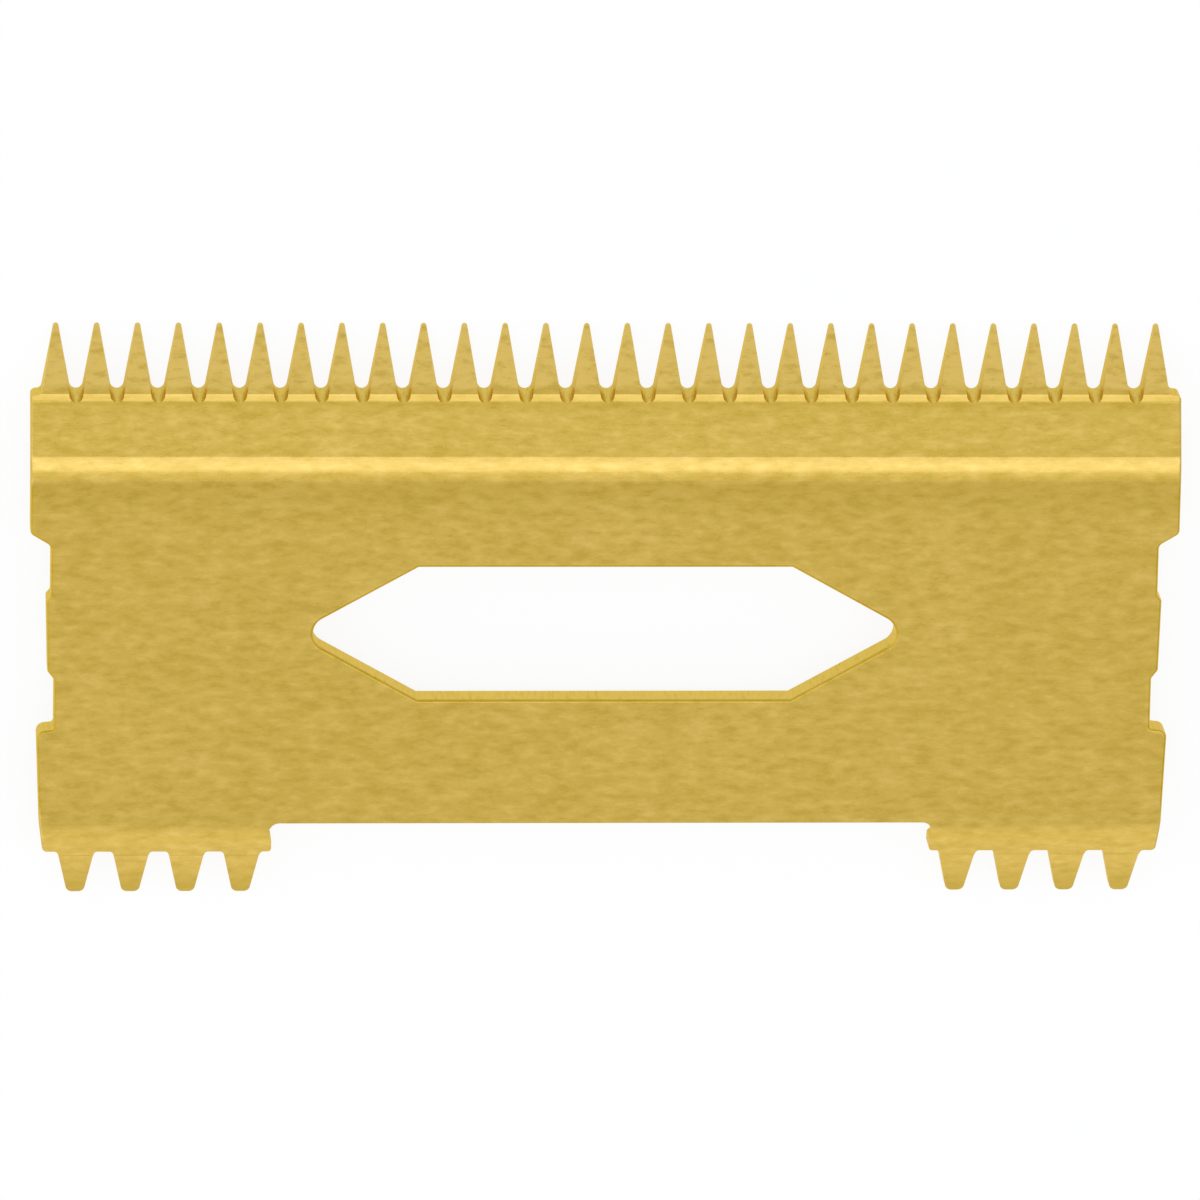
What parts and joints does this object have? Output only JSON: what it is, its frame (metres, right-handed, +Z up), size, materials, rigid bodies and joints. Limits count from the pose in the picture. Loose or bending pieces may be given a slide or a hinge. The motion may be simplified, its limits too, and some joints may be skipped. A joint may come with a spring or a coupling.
{
  "type": "hair clipper cutter blade",
  "caption": "Gold-coated steel cutter blade for a hair clipper: a bent plate with a row of pointed teeth in front, a long pointed drive slot, side notches and pegged feet at the rear.",
  "frame": {"origin": "middle of the blade's box at the bottom, in the plane of the ground cutting face", "axes": "+X along the tooth row, +Y the way the teeth point, +Z up from the ground underside"},
  "size_m": [0.038, 0.0194, 0.0017],
  "materials": {
    "coated_steel": "fine brushed along the tooth row, gold coated"
  },
  "bodies": {
    "root": {"cutter_blade": "coated_steel"}
  },
  "joints": []
}
